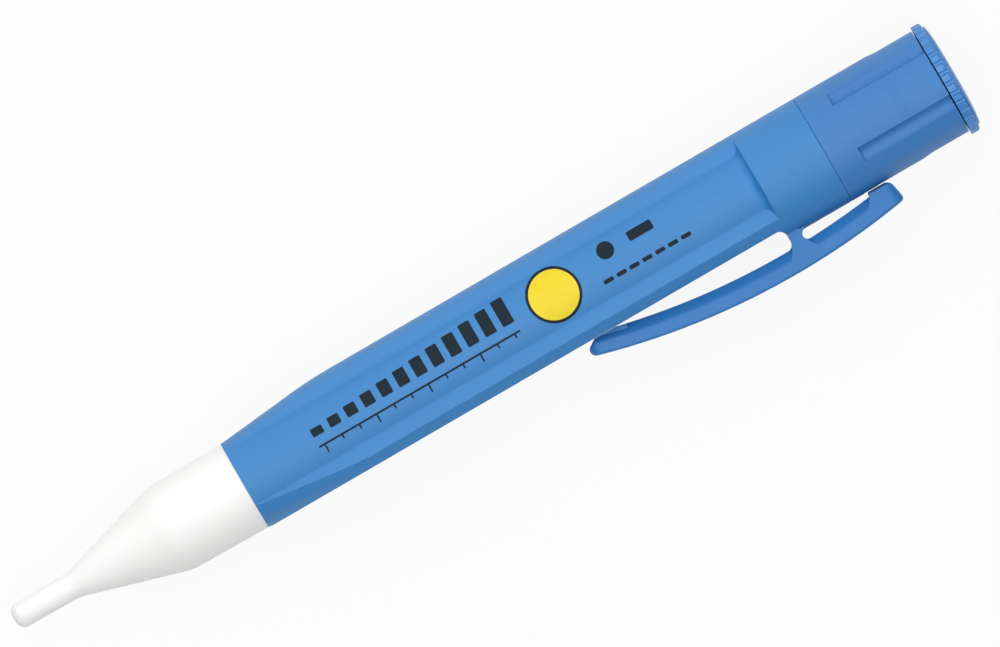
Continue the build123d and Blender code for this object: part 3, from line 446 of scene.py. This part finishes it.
def layDisc(shape, middleMm, radiusMm):
    place = Matrix.Translation((middleMm[0] * mm, middleMm[1] * mm, 0))
    bmesh.ops.create_circle(shape, cap_ends=True, segments=printBed["discSides"],
                            radius=radiusMm * mm, matrix=place)


def pressOnFloor(name, shape, ink, proudMm):
    slices = round(printBed["reachMm"] / printBed["sliceMm"])
    for cut in range(-slices, slices + 1):
        bmesh.ops.bisect_plane(shape, geom=shape.verts[:] + shape.edges[:] + shape.faces[:],
                               dist=printBed["onSliceMm"] * mm, plane_no=(0, 1, 0),
                               plane_co=(0, cut * printBed["sliceMm"] * mm, 0))
    raised = bmesh.ops.extrude_face_region(shape, geom=shape.faces[:], use_keep_orig=True)
    topVerts = {item for item in raised["geom"] if isinstance(item, bmesh.types.BMVert)}
    for vert in shape.verts:
        heightMm = printBed["floorRadiusMm"] + (proudMm if vert in topVerts else -printBed["sunkMm"])
        vert.co.z = math.sqrt((heightMm * mm) ** 2 - vert.co.y ** 2)
    bmesh.ops.recalc_face_normals(shape, faces=shape.faces)
    piece = pieceFrom(shape, name, ink)
    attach(piece, "barrel")


# Level scale: bars that grow from the nose towards the clip, over a ruled line with ticks
fieldScale = {"startMm": -101.6, "pitchMm": 2.75, "bars": 12, "barMm": 1.75, "lowMm": 0.9,
              "shortMm": 1.2, "tallMm": 3.9, "ruleMm": -0.45, "ruleThickMm": 0.28, "tickMm": 0.24,
              "tickShortMm": 0.55, "tickLongMm": 1.1, "longEvery": 3}
barStarts = [fieldScale["startMm"] + bar * fieldScale["pitchMm"] for bar in range(fieldScale["bars"])]
shape = bmesh.new()
for bar, barStart in enumerate(barStarts):
    growth = bar / (fieldScale["bars"] - 1)
    barHeight = fieldScale["shortMm"] + growth * (fieldScale["tallMm"] - fieldScale["shortMm"])
    layBar(shape, (barStart, fieldScale["lowMm"]),
           (barStart + fieldScale["barMm"], fieldScale["lowMm"] + barHeight), printBed["cornerMm"])
pressOnFloor("fieldScaleBars", shape, darkInk, printBed["proudMm"])

ruleLow = fieldScale["ruleMm"] - fieldScale["ruleThickMm"]
scaleEnd = barStarts[-1] + fieldScale["barMm"]
shape = bmesh.new()
layBar(shape, (fieldScale["startMm"], ruleLow), (scaleEnd, fieldScale["ruleMm"]), 0)
pressOnFloor("fieldScaleRule", shape, darkInk, printBed["proudMm"])

shape = bmesh.new()
for bar, barStart in enumerate(barStarts):
    tickMiddle = barStart + fieldScale["barMm"] / 2
    tickLength = fieldScale["tickShortMm"] if bar % fieldScale["longEvery"] else fieldScale["tickLongMm"]
    layBar(shape, (tickMiddle - fieldScale["tickMm"] / 2, ruleLow - tickLength),
           (tickMiddle + fieldScale["tickMm"] / 2, ruleLow), 0)
pressOnFloor("fieldScaleTicks", shape, darkInk, printBed["proudMm"])
print("level scale printed")

# Round spot: a plain yellow disc on a dark one that shows as its rim
roundSpot = {"middleMm": (-63.1, 1.35), "rimMm": 3.95, "discMm": 3.55, "discProudMm": 0.035}
shape = bmesh.new()
layDisc(shape, roundSpot["middleMm"], roundSpot["rimMm"])
pressOnFloor("roundSpotRim", shape, darkInk, printBed["proudMm"])
shape = bmesh.new()
layDisc(shape, roundSpot["middleMm"], roundSpot["discMm"])
pressOnFloor("roundSpotDisc", shape, yellowInk, roundSpot["discProudMm"])

# Small marks behind the spot: a dot, a short bar and a row of dashes
smallMarks = {"dotMm": (-53.9, 3.1), "dotRadiusMm": 1.25, "barFromMm": (-50.3, 2.4),
              "barToMm": (-46.5, 3.8), "dashStartMm": -56.3, "dashPitchMm": 2.05, "dashes": 7,
              "dashMm": 1.5, "dashLowMm": -1.05, "dashHighMm": -0.45}
shape = bmesh.new()
layDisc(shape, smallMarks["dotMm"], smallMarks["dotRadiusMm"])
layBar(shape, smallMarks["barFromMm"], smallMarks["barToMm"], printBed["cornerMm"])
for dash in range(smallMarks["dashes"]):
    dashStart = smallMarks["dashStartMm"] + dash * smallMarks["dashPitchMm"]
    layBar(shape, (dashStart, smallMarks["dashLowMm"]),
           (dashStart + smallMarks["dashMm"], smallMarks["dashHighMm"]), printBed["cornerMm"])
pressOnFloor("smallMarks", shape, darkInk, printBed["proudMm"])
print("spot and small marks printed")

# Studio: a pale floor under the pen, which shows almost white in the picture and in reflections
# and still takes the pen's shadow, and a weak even light from all around
studio = {"floorMm": 4000.0, "floorColour": "#E2E2E0", "white": "#FFFFFF", "whiteShare": 0.9,
          "ambient": 0.15}


def paleFloor():
    material, tree = newMaterial("paleStudioFloor")
    matte = addNode(tree, "ShaderNodeBsdfDiffuse", {"Color": linear(studio["floorColour"])})
    white = addNode(tree, "ShaderNodeEmission", {"Color": linear(studio["white"]), "Strength": 1.0})
    ray = addNode(tree, "ShaderNodeLightPath")
    seen = addNode(tree, "ShaderNodeMath", {"operation": "MAXIMUM"},
                   {0: ray.outputs["Is Camera Ray"], 1: ray.outputs["Is Glossy Ray"]})
    seenToo = addNode(tree, "ShaderNodeMath", {"operation": "MAXIMUM"},
                      {0: seen.outputs[0], 1: ray.outputs["Is Transmission Ray"]})
    share = addNode(tree, "ShaderNodeMath", {"operation": "MULTIPLY", 1: studio["whiteShare"]},
                    {0: seenToo.outputs[0]})
    mixed = addNode(tree, "ShaderNodeMixShader", None,
                    {0: share.outputs[0], 1: matte.outputs[0], 2: white.outputs[0]})
    addNode(tree, "ShaderNodeOutputMaterial", None, {"Surface": mixed.outputs[0]})
    return material


shape = bmesh.new()
bmesh.ops.create_grid(shape, x_segments=1, y_segments=1, size=studio["floorMm"] * mm / 2)
bmesh.ops.translate(shape, verts=shape.verts, vec=(0, 0, cadLow.z))
floor = pieceFrom(shape, "studioFloor", paleFloor())

world = bpy.data.worlds.new("paleStudio")
world.use_nodes = True
world.node_tree.nodes.clear()
backdrop = addNode(world.node_tree, "ShaderNodeBackground",
                   {"Color": linear(studio["white"]), "Strength": studio["ambient"]})
addNode(world.node_tree, "ShaderNodeOutputWorld", None, {"Surface": backdrop.outputs[0]})
bpy.context.scene.world = world

# Lamps: an arc of broad soft ones over the pen, from its clip side to the far side, and a low
# strip on the far side; places are counted from the pen's middle
lamps = {
    "lowerLamp": {"fromMm": (-20.0, -425.0, 736.1), "sizeMm": (1100.0, 800.0), "watts": 2.26},
    "overheadLamp": {"fromMm": (-20.0, 0.0, 850.0), "sizeMm": (1100.0, 800.0), "watts": 4.45},
    "upperLamp": {"fromMm": (-20.0, 425.0, 736.1), "sizeMm": (1100.0, 800.0), "watts": 2.18},
    "sideLamp": {"fromMm": (-20.0, 736.1, 425.0), "sizeMm": (1100.0, 800.0), "watts": 1.88},
    "stripLamp": {"fromMm": (0.0, 800.0, 130.0), "sizeMm": (1100.0, 240.0), "watts": 0.92},
}
penMiddle = (cadLow + cadHigh) / 2
for lampName, lamp in lamps.items():
    light = bpy.data.lights.new(lampName, "AREA")
    light.shape = "RECTANGLE"
    light.size, light.size_y = (side * mm for side in lamp["sizeMm"])
    light.energy = lamp["watts"]
    holder = bpy.data.objects.new(lampName, light)
    holder.location = penMiddle + Vector(lamp["fromMm"]) * mm
    holder.rotation_euler = (penMiddle - holder.location).to_track_quat("-Z", "Y").to_euler()
    holder.visible_camera = False
    bpy.context.scene.collection.objects.link(holder)

# The photograph looks straight down on the pen, which lies turned by 30 degrees in the picture;
# widthMm is what the picture takes in across at the height of the pen's axis
picture = {"aimMm": (-71.5, 1.64), "heightMm": 3000.0, "turnDegrees": -30.15, "widthMm": 138.07,
           "sensorMm": 36.0, "nearMm": 10.0, "farMm": 10000.0}
camera = bpy.data.cameras.new("pictureCamera")
camera.sensor_width = picture["sensorMm"]
camera.lens = picture["sensorMm"] * picture["heightMm"] / picture["widthMm"]
camera.clip_start = picture["nearMm"] * mm
camera.clip_end = picture["farMm"] * mm
cameraHolder = bpy.data.objects.new("pictureCamera", camera)
cameraHolder.location = Vector((*picture["aimMm"], picture["heightMm"])) * mm
cameraHolder.rotation_euler = (0, 0, math.radians(picture["turnDegrees"]))
bpy.context.scene.collection.objects.link(cameraHolder)
bpy.context.scene.camera = cameraHolder
bpy.context.scene.view_settings.view_transform = "Standard"
print("studio and camera set")
